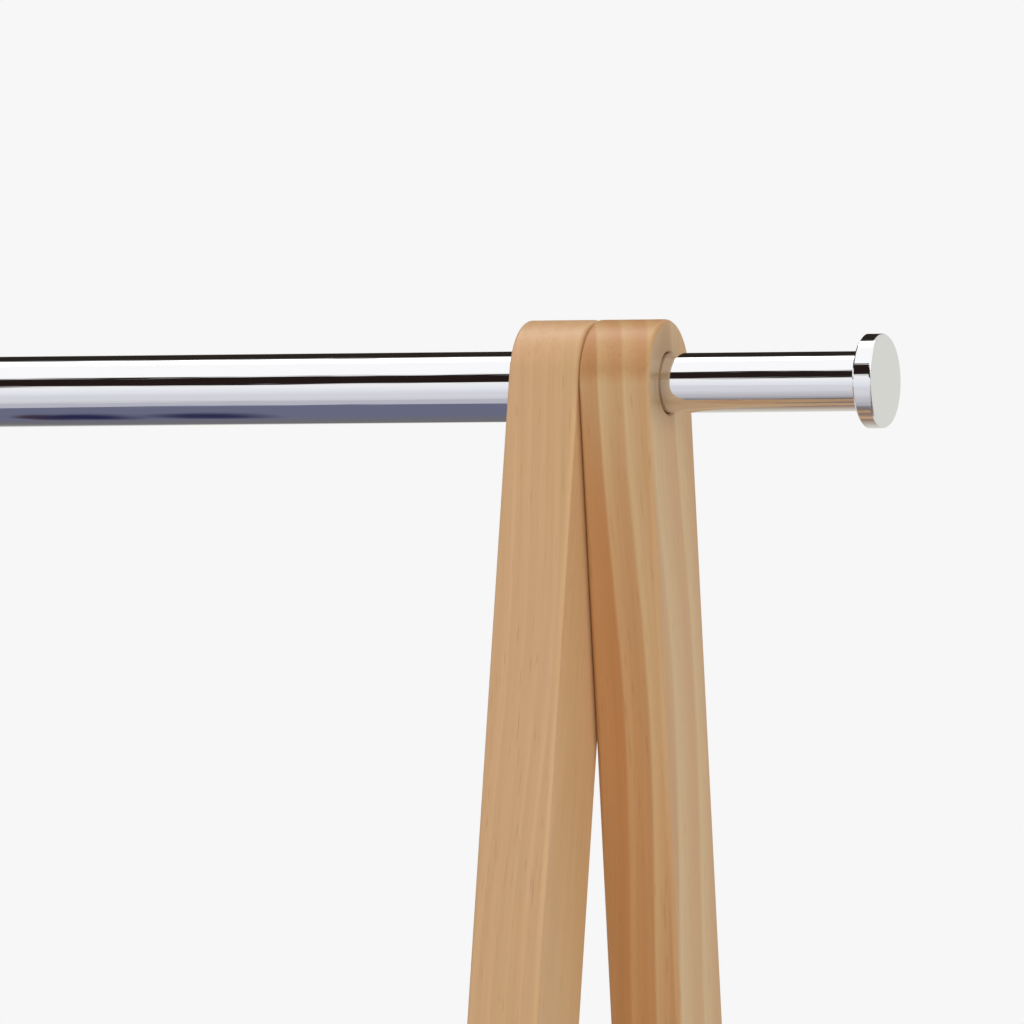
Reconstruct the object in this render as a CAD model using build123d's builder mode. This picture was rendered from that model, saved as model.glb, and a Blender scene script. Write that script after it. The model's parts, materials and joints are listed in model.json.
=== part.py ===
from build123d import *
import os
from math import cos, radians, sin

# Folding A-frame clothes rack: on each end two wooden legs with round heads lap each other
# and turn on a chrome rail. Millimetres and degrees, +Z up, front towards -Y, origin on the
# floor under the middle of the rail.

# Overall
overall_height = 1600.0
overall_width = 1200.0  # cap face to cap face
half_splay = 9.6  # lean of each leg from upright
fold_travel = 17.0  # swing of the rear legs towards the front legs

# Legs
leg_width = 54.0
leg_thickness = 31.45
leg_edge_radius = 2.0
lap_gap = 0.1  # between the lapped faces of a pair

# Rail
core_diameter = 25.4
core_wall = 1.5
sleeve_wall = 1.3
sleeve_play = 1.0  # radial room of the sleeve round the core
stub_length = 88.5  # bare core between the rear leg and the cap

# End caps
cap_diameter = 40.0
cap_thickness = 8.5
cap_bevel = 0.8  # edge next to the stub
cap_edge_radius = 2.0  # edge of the face
cap_skin = 3.0  # metal left over the stud
cap_plug_length = 25.0
cap_stud_diameter = 8.0
cap_stud_grip = 16.0  # thread length in the plug

# Pivot washers between the lapped legs, sunk in the rear legs
washer_diameter = 40.0
washer_thickness = 1.5
washer_play = 0.1
washer_recess_diameter = 41.0

# Stop pins
stop_pin_diameter = 8.0
stop_pin_drop = 46.0  # from the rail axis, so that the front leg always covers the slot
stop_pin_seat = 16.0  # length held in the front leg
stop_pin_reach = 10.0  # length in the rear leg's slot

# Rail lock screws
lock_screw_diameter = 6.0
lock_screw_head_diameter = 10.0
lock_screw_head_height = 4.0
lock_screw_recess = 6.0
lock_screw_tip = 3.0  # length that shows inside the core

# Stretchers
stretcher_height = 300.0
stretcher_diameter = 22.0
stretcher_wall = 1.5
stretcher_seat = 10.0  # depth of the socket in the leg
stretcher_plug_length = 30.0
bolt_diameter = 6.0
bolt_grip = 18.0  # thread length in the plug
bolt_head_diameter = 10.0
bolt_head_height = 6.0
bolt_recess = 7.0
hex_key = 5.0  # across the flats of a bolt's socket
hex_key_depth = 3.0

# Foot pads
pad_thickness = 4.0
pad_inset = 3.0
pad_corner_radius = 6.0
pad_edge_bevel = 1.0
pad_spigot_diameter = 6.0
pad_spigot_length = 12.0

# Clearances
fit = 0.05  # radial, between pieces that stay together
pivot_clearance = 0.4  # radial, rear leg on the core
slot_clearance = 0.4  # round the stop pin
slot_floor_clearance = 1.0
head_clearance = 0.4  # round a sunk screw head

# Places along the rail, measured out from the middle
rail_height = overall_height - leg_width / 2
core_length = overall_width - 2 * cap_thickness
core_end = core_length / 2
core_inner_diameter = core_diameter - 2 * core_wall
rear_outer = core_end - stub_length
rear_inner = rear_outer - leg_thickness
front_outer = rear_inner - lap_gap
front_inner = front_outer - leg_thickness
stretcher_inner_diameter = stretcher_diameter - 2 * stretcher_wall

ends = (("left", -1), ("right", 1))
rows = (
    ("front", -half_splay, front_inner, front_outer),
    ("rear", half_splay, rear_inner, rear_outer),
)
os.makedirs("parts", exist_ok=True)


def save(piece, label):
    piece.label = label
    export_step(piece, f"parts/{label}.step")


def along(lean):
    """Unit vector down a leg's centre line, as (y, z)."""
    return Vector(sin(radians(lean)), -cos(radians(lean)))


def across(lean):
    """Unit vector square to a leg's centre line, towards the rear, as (y, z)."""
    return Vector(cos(radians(lean)), sin(radians(lean)))


def at_height(lean, height):
    """Point of a leg's centre line at a height above the floor, as (y, z)."""
    return rail_axis + along(lean) * ((rail_height - height) / cos(radians(lean)))


def side_plane(x, point, direction):
    """Plane square to the rail at (y, z) point, facing +X or -X."""
    return Plane(origin=(x, point.X, point.Y), z_dir=(direction, 0, 0))


rail_axis = Vector(0, rail_height)

# Angles about the rail, from +Y towards +Z. The pin stands at the front end of its slot when
# the rack is open, and the slot is centred on the rear leg.
pin_angle = -90 + half_splay - fold_travel / 2
pin_centre = rail_axis + Vector(cos(radians(pin_angle)), sin(radians(pin_angle))) * stop_pin_drop

# Rail core: one tube from cap to cap, tapped through at each front leg for its lock screw
lock_screw_offset = (front_inner + front_outer) / 2
lock_direction = (0, across(-half_splay).X, across(-half_splay).Y)
with BuildPart() as rail_core:
    with BuildSketch(Plane.YZ.offset(-core_end)) as core_section:
        with Locations(rail_axis):
            Circle(core_diameter / 2)
            Circle(core_inner_diameter / 2, mode=Mode.SUBTRACT)
    extrude(amount=core_length)
    for end, side in ends:
        screw_axis = Plane(origin=(side * lock_screw_offset, 0, rail_height), z_dir=lock_direction)
        with BuildSketch(screw_axis) as screw_hole:
            Circle(lock_screw_diameter / 2 + fit)
        extrude(amount=core_diameter, mode=Mode.SUBTRACT)
save(rail_core.part, "rail_core")

# Rail sleeve: spacer tube between the front legs, hanging on the core by its own weight
sleeve_inner_diameter = core_diameter + 2 * sleeve_play
sleeve_drop = sleeve_play - fit
with BuildPart() as rail_sleeve:
    with BuildSketch(Plane.YZ.offset(-front_inner)) as sleeve_section:
        with Locations(rail_axis - Vector(0, sleeve_drop)):
            Circle(sleeve_inner_diameter / 2 + sleeve_wall)
            Circle(sleeve_inner_diameter / 2, mode=Mode.SUBTRACT)
    extrude(amount=2 * front_inner)
save(rail_sleeve.part, "rail_sleeve")

# End caps: turned discs with a rounded face and a blind tapped hole, on a stud in a plug
# that is pressed into the core
cap_stud_reach = cap_thickness - cap_skin
rail_middle = Vector(0, 0, rail_height)
for end, side in ends:
    core_face = Plane(origin=(side * core_end, 0, rail_height), z_dir=(side, 0, 0))
    with BuildPart() as end_cap:
        with BuildSketch(core_face) as disc:
            Circle(cap_diameter / 2)
        extrude(amount=cap_thickness)
        inner_rim = end_cap.edges().filter_by(GeomType.CIRCLE).sort_by_distance(rail_middle)[0]
        chamfer(inner_rim, cap_bevel)
        outer_rim = end_cap.edges().filter_by(GeomType.CIRCLE).sort_by_distance(rail_middle)[-1]
        fillet(outer_rim, cap_edge_radius)
        with BuildSketch(core_face) as stud_hole:
            Circle(cap_stud_diameter / 2 + fit)
        extrude(amount=cap_stud_reach + fit, mode=Mode.SUBTRACT)
    save(end_cap.part, f"end_cap_{end}")

    with BuildPart() as cap_plug:
        with BuildSketch(core_face) as plug_section:
            Circle(core_inner_diameter / 2 - fit)
            Circle(cap_stud_diameter / 2 + fit, mode=Mode.SUBTRACT)
        extrude(amount=-cap_plug_length)
    save(cap_plug.part, f"cap_plug_{end}")

    with BuildPart() as cap_stud:
        with BuildSketch(core_face.offset(-cap_stud_grip)) as stud_section:
            Circle(cap_stud_diameter / 2)
        extrude(amount=cap_stud_grip + cap_stud_reach)
    save(cap_stud.part, f"cap_stud_{end}")

# Legs: flat bars with a round head about the rail and a foot cut level with the floor.
# Every leg has a bore for the core, a socket and a sunk bolt hole for its stretcher, and a
# hole for the spigot of its foot pad.
bolt_web = leg_thickness - stretcher_seat - bolt_recess


def leg_blank(lean, side, inner, outer, bore_diameter):
    half_width = leg_width / 2
    down = along(lean)
    sideways = across(lean) * half_width
    head_front = rail_axis - sideways
    head_rear = rail_axis + sideways
    head_top = rail_axis - down * half_width
    foot_front = head_front + down * ((head_front.Y - pad_thickness) / cos(radians(lean)))
    foot_rear = head_rear + down * ((head_rear.Y - pad_thickness) / cos(radians(lean)))
    foot_middle = (foot_front + foot_rear) / 2
    seat = at_height(lean, stretcher_height)
    with BuildPart() as leg:
        with BuildSketch(Plane.YZ.offset(side * inner)) as side_view:
            with BuildLine() as outline:
                Line(foot_front, head_front)
                ThreePointArc(head_front, head_top, head_rear)
                Line(head_rear, foot_rear)
                Line(foot_rear, foot_front)
            make_face()
        extrude(amount=side * leg_thickness)
        arrises = leg.faces().filter_by(Axis.X).edges().filter_by(
            lambda edge: edge.center().Z > pad_thickness + fit
        )
        fillet(arrises, leg_edge_radius)
        with Locations(side_plane(side * outer, rail_axis, side)):
            Hole(bore_diameter / 2, depth=leg_thickness)
        with Locations(side_plane(side * inner, seat, -side)):
            Hole(stretcher_diameter / 2 + fit, depth=stretcher_seat)
        with Locations(side_plane(side * outer, seat, side)):
            CounterBoreHole(
                bolt_diameter / 2 + fit,
                bolt_head_diameter / 2 + head_clearance,
                bolt_recess,
                depth=leg_thickness,
            )
        middle = side * (inner + outer) / 2
        with Locations(Plane(origin=(middle, foot_middle.X, pad_thickness), z_dir=(0, 0, -1))):
            Hole(pad_spigot_diameter / 2 + fit, depth=pad_spigot_length + fit)
    return leg.part


# Front legs, the inner ones: they hold the core with a lock screw and carry the stop pin
for end, side in ends:
    blank = leg_blank(-half_splay, side, front_inner, front_outer, core_diameter + 2 * fit)
    rear_edge = across(-half_splay) * (leg_width / 2) + rail_axis
    lock_place = Plane(
        origin=(side * lock_screw_offset, rear_edge.X, rear_edge.Y), z_dir=lock_direction
    )
    with BuildPart() as front_leg:
        add(blank)
        with Locations(side_plane(side * front_outer, pin_centre, side)):
            Hole(stop_pin_diameter / 2 + fit, depth=stop_pin_seat)
        with Locations(lock_place):
            CounterBoreHole(
                lock_screw_diameter / 2 + fit,
                lock_screw_head_diameter / 2 + head_clearance,
                lock_screw_recess,
                depth=leg_width / 2,
            )
    save(front_leg.part, f"front_leg_{end}")

# Rear legs, the outer ones: they turn on the core, a shallow recess in the lapped face takes the
# washer, and a curved slot below it takes the stop pin over the whole fold
slot_depth = stop_pin_reach - lap_gap + slot_floor_clearance
washer_recess = washer_thickness + washer_play - lap_gap
for end, side in ends:
    blank = leg_blank(half_splay, side, rear_inner, rear_outer, core_diameter + 2 * pivot_clearance)
    with BuildPart() as rear_leg:
        add(blank)
        with BuildSketch(Plane.YZ.offset(side * rear_inner)) as stop_slot:
            with BuildLine(mode=Mode.PRIVATE) as pin_path:
                CenterArc(rail_axis, stop_pin_drop, pin_angle, fold_travel)
            SlotArc(pin_path.edge(), stop_pin_diameter + 2 * slot_clearance)
        extrude(amount=side * slot_depth, mode=Mode.SUBTRACT)
        with Locations(side_plane(side * rear_inner, rail_axis, -side)):
            Hole(washer_recess_diameter / 2, depth=washer_recess)
    save(rear_leg.part, f"rear_leg_{end}")

# Small pieces of the lapped joint: the nylon washer between the legs, the stop pin, and the
# screw that locks the front leg to the core
for end, side in ends:
    with BuildPart() as pivot_washer:
        with BuildSketch(side_plane(side * front_outer, rail_axis, side)) as washer_section:
            Circle(washer_diameter / 2)
            Circle(core_diameter / 2 + fit, mode=Mode.SUBTRACT)
        extrude(amount=washer_thickness)
    save(pivot_washer.part, f"pivot_washer_{end}")

    with BuildPart() as stop_pin:
        with BuildSketch(side_plane(side * (front_outer - stop_pin_seat), pin_centre, side)):
            Circle(stop_pin_diameter / 2)
        extrude(amount=stop_pin_seat + stop_pin_reach)
    save(stop_pin.part, f"stop_pin_{end}")

    recess_floor = leg_width / 2 - lock_screw_recess
    screw_base = Plane(origin=(side * lock_screw_offset, 0, rail_height), z_dir=lock_direction)
    tip = core_inner_diameter / 2 - lock_screw_tip
    with BuildPart() as lock_screw:
        with BuildSketch(screw_base.offset(tip)) as shank:
            Circle(lock_screw_diameter / 2)
        extrude(amount=recess_floor - tip)
        with BuildSketch(screw_base.offset(recess_floor)) as head:
            Circle(lock_screw_head_diameter / 2)
        extrude(amount=lock_screw_head_height)
    save(lock_screw.part, f"rail_lock_screw_{end}")

# Stretchers: a chrome tube across each row of legs, with a tapped plug in each end and a
# socket-head bolt through the leg
bolt_length = bolt_web + bolt_grip
for row, lean, inner, outer in rows:
    seat = at_height(lean, stretcher_height)
    tube_end = inner + stretcher_seat
    with BuildPart() as stretcher:
        with BuildSketch(side_plane(-tube_end, seat, 1)) as tube_section:
            Circle(stretcher_diameter / 2)
            Circle(stretcher_inner_diameter / 2, mode=Mode.SUBTRACT)
        extrude(amount=2 * tube_end)
    save(stretcher.part, f"{row}_stretcher")

    for end, side in ends:
        with BuildPart() as plug:
            with BuildSketch(side_plane(side * tube_end, seat, -side)) as plug_ring:
                Circle(stretcher_inner_diameter / 2 - fit)
                Circle(bolt_diameter / 2 + fit, mode=Mode.SUBTRACT)
            extrude(amount=stretcher_plug_length)
        save(plug.part, f"{row}_stretcher_plug_{end}")

        head_seat = side_plane(side * (outer - bolt_recess), seat, side)
        with BuildPart() as bolt:
            with BuildSketch(head_seat) as bolt_shank:
                Circle(bolt_diameter / 2)
            extrude(amount=-bolt_length)
            with BuildSketch(head_seat) as bolt_head:
                Circle(bolt_head_diameter / 2)
            extrude(amount=bolt_head_height)
            with BuildSketch(head_seat.offset(bolt_head_height)) as key_socket:
                RegularPolygon(hex_key / 2, 6, major_radius=False)
            extrude(amount=-hex_key_depth, mode=Mode.SUBTRACT)
        save(bolt.part, f"{row}_stretcher_bolt_{end}")

# Foot pads: plastic glides under the level-cut feet, each with a spigot up into the leg
pad_length = leg_width / cos(radians(half_splay)) - 2 * pad_inset
pad_width = leg_thickness - 2 * pad_inset
for row, lean, inner, outer in rows:
    foot = at_height(lean, pad_thickness)
    for end, side in ends:
        foot_middle = Vector(side * (inner + outer) / 2, foot.X)
        with BuildPart() as foot_pad:
            with BuildSketch() as sole:
                with Locations(foot_middle):
                    RectangleRounded(pad_width, pad_length, pad_corner_radius)
            extrude(amount=pad_thickness)
            chamfer(foot_pad.faces().sort_by(Axis.Z)[0].edges(), pad_edge_bevel)
            with BuildSketch(Plane.XY.offset(pad_thickness)) as spigot:
                with Locations(foot_middle):
                    Circle(pad_spigot_diameter / 2)
            extrude(amount=pad_spigot_length)
        save(foot_pad.part, f"{row}_foot_pad_{end}")
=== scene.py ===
import json
import math

import bmesh
import bpy
from mathutils import Matrix, Vector


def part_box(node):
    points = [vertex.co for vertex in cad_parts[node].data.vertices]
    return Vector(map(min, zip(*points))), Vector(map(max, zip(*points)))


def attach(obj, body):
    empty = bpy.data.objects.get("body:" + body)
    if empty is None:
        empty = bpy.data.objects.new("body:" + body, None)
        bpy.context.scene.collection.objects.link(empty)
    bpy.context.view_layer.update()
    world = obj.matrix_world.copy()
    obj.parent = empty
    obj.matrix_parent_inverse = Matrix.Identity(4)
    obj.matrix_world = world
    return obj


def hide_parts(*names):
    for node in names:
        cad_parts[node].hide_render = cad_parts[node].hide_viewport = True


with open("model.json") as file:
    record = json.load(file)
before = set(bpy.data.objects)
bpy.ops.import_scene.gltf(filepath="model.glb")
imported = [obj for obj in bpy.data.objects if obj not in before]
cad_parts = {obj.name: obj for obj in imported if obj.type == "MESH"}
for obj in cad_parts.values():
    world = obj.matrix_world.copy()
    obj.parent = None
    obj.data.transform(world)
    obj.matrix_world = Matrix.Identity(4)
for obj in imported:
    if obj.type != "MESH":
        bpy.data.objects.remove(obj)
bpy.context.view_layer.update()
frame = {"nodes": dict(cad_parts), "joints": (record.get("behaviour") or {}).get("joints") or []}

# Rail core: a drawn steel tube, bright chrome plated, which runs from cap to cap through the
# bores of all four legs. It shows as the bare stub outside each pair of legs.
mm = 0.001
rail_axis = Vector(frame["joints"][0]["pos_m"])
core_radius = 12.7 * mm
core_wall = 1.5 * mm
tube_sides = 128
square_on = 0.9  # least cosine of a face that counts as looking along a direction


def start(add_primitive, name, stretch=(1, 1, 1), **settings):
    """Adds a primitive at its size and place, with nothing else selected."""
    bpy.ops.object.select_all(action="DESELECT")
    add_primitive(**settings)
    piece = bpy.context.object
    piece.name = name
    piece.data.name = name
    piece.scale = stretch
    bpy.ops.object.transform_apply(location=True, rotation=True, scale=True)
    return piece


def pick(piece, kind, test):
    """Opens a piece in edit mode and selects only the edges or faces that pass a test."""
    bpy.ops.object.mode_set(mode="EDIT")
    bpy.ops.mesh.select_mode(type=kind)
    bpy.ops.mesh.select_all(action="DESELECT")
    shape = bmesh.from_edit_mesh(piece.data)
    for element in shape.edges if kind == "EDGE" else shape.faces:
        if test(element):
            element.select_set(True)
    shape.select_flush_mode()
    bmesh.update_edit_mesh(piece.data)


def close_edit():
    """Leaves edit mode with doubles merged and the faces outward."""
    merge_distance = 0.005 * mm
    bpy.ops.mesh.select_all(action="SELECT")
    bpy.ops.mesh.remove_doubles(threshold=merge_distance)
    bpy.ops.mesh.normals_make_consistent(inside=False)
    bpy.ops.object.mode_set(mode="OBJECT")


def select_only(piece):
    """Makes a piece the one that operators act on."""
    bpy.ops.object.select_all(action="DESELECT")
    piece.select_set(True)
    bpy.context.view_layer.objects.active = piece


def smooth(piece):
    """Smooths the round surfaces, and keeps the large faces true beside their eased edges."""
    sharp_angle = math.radians(35)
    select_only(piece)
    bpy.ops.object.shade_smooth_by_angle(angle=sharp_angle)
    weigh = piece.modifiers.new("true_faces", "WEIGHTED_NORMAL")
    weigh.keep_sharp = True
    weigh.weight = 100
    bpy.ops.object.modifier_apply(modifier=weigh.name)


def rims_end(edge):
    """True where a face that is square to the rail meets one that isn't."""
    return sum(abs(face.normal.x) > square_on for face in edge.link_faces) == 1


def draw_tube(name, node, radius, wall):
    """A tube along the rail's direction in a CAD node's place, with eased ends."""
    rim_ease = 0.2 * mm
    low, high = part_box(node)
    piece = start(
        bpy.ops.mesh.primitive_cylinder_add,
        name,
        vertices=tube_sides,
        radius=radius,
        depth=high.x - low.x,
        location=(low + high) / 2,
        rotation=(0, math.pi / 2, 0),
    )
    pick(piece, "FACE", lambda face: abs(face.normal.x) > square_on)
    bpy.ops.mesh.inset(thickness=wall, use_even_offset=True, use_individual=True)
    bpy.ops.mesh.delete(type="FACE")
    pick(piece, "EDGE", lambda edge: edge.is_boundary)
    bpy.ops.mesh.bridge_edge_loops()
    pick(piece, "EDGE", rims_end)
    bpy.ops.mesh.bevel(offset=rim_ease, segments=2, affect="EDGES", clamp_overlap=False)
    close_edit()
    smooth(piece)
    return piece


def linear(hex_colour):
    """An sRGB hex colour as the linear values that a socket takes."""
    values = [int(hex_colour[i : i + 2], 16) / 255 for i in (1, 3, 5)]
    return [v / 12.92 if v <= 0.04045 else ((v + 0.055) / 1.055) ** 2.4 for v in values] + [1]


def add_node(tree, kind, settings={}, inputs={}):
    """Adds a node, sets its properties, and gives each input a value or a link."""
    node = tree.nodes.new(kind)
    for name, value in settings.items():
        setattr(node, name, value)
    for socket, value in inputs.items():
        if isinstance(value, bpy.types.NodeSocket):
            tree.links.new(value, node.inputs[socket])
        else:
            node.inputs[socket].default_value = value
    return node


def new_material(name):
    """An empty node material, its tree, and its output's surface."""
    material = bpy.data.materials.new(name)
    material.use_nodes = True
    material.node_tree.nodes.clear()
    output = add_node(material.node_tree, "ShaderNodeOutputMaterial")
    return material, material.node_tree, output.inputs["Surface"]


# Bright chrome plating on polished steel: a mirror that the eye reads only by what it reflects,
# with the drawn tube's faint waves and fine lines along its length and a little haze from
# handling.
chrome, tree, surface = new_material("bright_chrome_plating")
plating_tint = "#F2F2F4"
undulation_length = 45 * mm
undulation_width = 11 * mm
undulation_strength = 0.02
line_length = 70 * mm
line_width = 0.9 * mm
line_strength = 0.045
relief_depth = 1 * mm
smudge_size = 60 * mm
smudge_range = (0.4, 0.7)
clean_roughness, smudged_roughness = 0.03, 0.06
place = add_node(tree, "ShaderNodeTexCoord").outputs["Object"]
drawn = add_node(
    tree,
    "ShaderNodeMapping",
    inputs={
        "Vector": place,
        "Scale": (1 / undulation_length, 1 / undulation_width, 1 / undulation_width),
    },
)
undulation = add_node(
    tree, "ShaderNodeTexNoise", inputs={"Vector": drawn.outputs[0], "Scale": 1.0, "Detail": 1.0}
)
waviness = add_node(
    tree,
    "ShaderNodeBump",
    inputs={
        "Strength": undulation_strength,
        "Distance": relief_depth,
        "Height": undulation.outputs[0],
    },
)
line_place = add_node(
    tree,
    "ShaderNodeMapping",
    inputs={"Vector": place, "Scale": (1 / line_length, 1 / line_width, 1 / line_width)},
)
drawing_lines = add_node(
    tree,
    "ShaderNodeTexNoise",
    inputs={"Vector": line_place.outputs[0], "Scale": 1.0, "Detail": 2.0},
)
drawn_surface = add_node(
    tree,
    "ShaderNodeBump",
    inputs={
        "Strength": line_strength,
        "Distance": relief_depth,
        "Height": drawing_lines.outputs[0],
        "Normal": waviness.outputs[0],
    },
)
smudge = add_node(
    tree, "ShaderNodeTexNoise", inputs={"Vector": place, "Scale": 1 / smudge_size, "Detail": 3.0}
)
haze = add_node(
    tree,
    "ShaderNodeMapRange",
    inputs={
        "Value": smudge.outputs[0],
        "From Min": smudge_range[0],
        "From Max": smudge_range[1],
        "To Min": clean_roughness,
        "To Max": smudged_roughness,
    },
)
plating = add_node(
    tree,
    "ShaderNodeBsdfPrincipled",
    inputs={
        "Base Color": linear(plating_tint),
        "Metallic": 1.0,
        "Roughness": haze.outputs[0],
        "Normal": drawn_surface.outputs[0],
    },
)
tree.links.new(plating.outputs[0], surface)

core = draw_tube("chrome_rail_core", "rail_core", core_radius, core_wall)
core.data.materials.append(chrome)
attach(core, "front_frame")
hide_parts("rail_core")

# Front legs: planed pine bars, the inner ones of each lapped pair, with a round head about the
# rail and the foot sawn level. The core is a tight fit in their bores, and a screw from behind
# locks it there.
half_splay = 9.6
leg_width = 54 * mm
leg_thickness = 31.45 * mm
arris_radius = 2 * mm
fit = 0.05 * mm
head_room = 0.4 * mm
bore_ease = 0.8 * mm
hole_sides = 96
stretcher_radius = 11 * mm
stretcher_seat = 10 * mm
bolt_radius = 3 * mm
bolt_head_radius = 5 * mm
bolt_recess = 7 * mm
spigot_radius = 3 * mm
spigot_length = 12 * mm
stop_pin_radius = 4 * mm
lock_recess = 6 * mm


def across(lean):
    """Unit vector square to a leg that leans by some degrees, towards the rear."""
    return Vector((0, math.cos(math.radians(lean)), math.sin(math.radians(lean))))


def combine(piece, tool, operation):
    """Joins a tool to a piece or cuts it out, takes the tool away, and closes the slivers that the
    cut leaves, so that the next cut meets a whole mesh."""
    select_only(piece)
    step = piece.modifiers.new("combine", "BOOLEAN")
    step.operation = operation
    step.solver = "MANIFOLD"
    step.object = tool
    bpy.ops.object.modifier_apply(modifier=step.name)
    bpy.data.objects.remove(tool)
    piece.data.materials.clear()  # the cut leaves an empty slot
    bpy.ops.object.mode_set(mode="EDIT")
    close_edit()


def drill(piece, radius, mouth, inward, depth, flutes=hole_sides):
    """Cuts a hole into a piece from a point on its surface."""
    overshoot = 5 * mm
    inward = Vector(inward)
    bit = start(
        bpy.ops.mesh.primitive_cylinder_add,
        "drill_bit",
        vertices=flutes,
        radius=radius,
        depth=depth + overshoot,
        location=Vector(mouth) + inward * (depth - overshoot) / 2,
        rotation=inward.to_track_quat("Z", "Y").to_euler(),
    )
    combine(piece, bit, "DIFFERENCE")


def ease_mouth(piece, radius, mouth, inward, ease):
    """Countersinks the mouth of a hole by a little."""
    overshoot = 2 * mm
    inward = Vector(inward)
    sink = start(
        bpy.ops.mesh.primitive_cone_add,
        "countersink",
        vertices=hole_sides,
        radius1=radius + ease + overshoot,
        radius2=radius - overshoot,
        depth=ease + 2 * overshoot,
        location=Vector(mouth) + inward * ease / 2,
        rotation=inward.to_track_quat("Z", "Y").to_euler(),
    )
    combine(piece, sink, "DIFFERENCE")


def saw_leg(row, lean, bore_radius):
    """The right-hand leg of a row: a bar with a round head and eased arrises, leaned about the
    rail and sawn level at the foot, with its bore and the holes for its stretcher and pad."""
    low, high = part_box(f"{row}_leg_right")
    length = rail_axis.z / math.cos(math.radians(lean)) + leg_width
    top = rail_axis.z + leg_width / 2
    piece = start(
        bpy.ops.mesh.primitive_cube_add,
        f"pine_{row}_leg_right",
        size=1,
        location=((low.x + high.x) / 2, 0, top - length / 2),
        stretch=(leg_thickness, leg_width, length),
    )
    pick(
        piece,
        "EDGE",
        lambda edge: all(vert.co.z > top - mm for vert in edge.verts)
        and edge.verts[0].co.y == edge.verts[1].co.y,
    )
    bpy.ops.mesh.bevel(
        offset=leg_width / 2 - fit / 2, segments=32, profile=0.5, affect="EDGES", clamp_overlap=False
    )
    pick(piece, "EDGE", rims_end)
    bpy.ops.mesh.bevel(
        offset=arris_radius, segments=5, profile=0.5, affect="EDGES", clamp_overlap=False
    )
    bpy.ops.mesh.select_all(action="SELECT")
    bpy.ops.transform.rotate(
        value=math.radians(-lean), orient_axis="X", center_override=rail_axis
    )
    bpy.ops.mesh.bisect(
        plane_co=(0, 0, low.z), plane_no=(0, 0, 1), use_fill=True, clear_inner=True
    )
    close_edit()

    stretcher_low, stretcher_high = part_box(f"{row}_stretcher")
    seat = (stretcher_low + stretcher_high) / 2
    pad_low, pad_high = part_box(f"{row}_foot_pad_right")
    foot = (pad_low + pad_high) / 2
    drill(piece, bore_radius, (high.x, 0, rail_axis.z), (-1, 0, 0), leg_thickness + leg_width)
    ease_mouth(piece, bore_radius, (high.x, 0, rail_axis.z), (-1, 0, 0), bore_ease)
    drill(piece, stretcher_radius + fit, (low.x, seat.y, seat.z), (1, 0, 0), stretcher_seat)
    drill(piece, bolt_radius + fit, (high.x, seat.y, seat.z), (-1, 0, 0), leg_thickness)
    drill(piece, bolt_head_radius + head_room, (high.x, seat.y, seat.z), (-1, 0, 0), bolt_recess)
    drill(piece, spigot_radius + fit, (foot.x, foot.y, low.z), (0, 0, 1), spigot_length + fit)
    return piece


def mirror_copy(piece, name):
    """A copy with its own mesh on the rack's other side."""
    select_only(piece)
    bpy.ops.object.duplicate()
    twin = bpy.context.object
    twin.name = name
    twin.data.name = name
    twin.scale.x = -1
    bpy.ops.object.transform_apply(location=True, rotation=True, scale=True)
    bpy.ops.object.mode_set(mode="EDIT")
    close_edit()
    return twin


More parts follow.
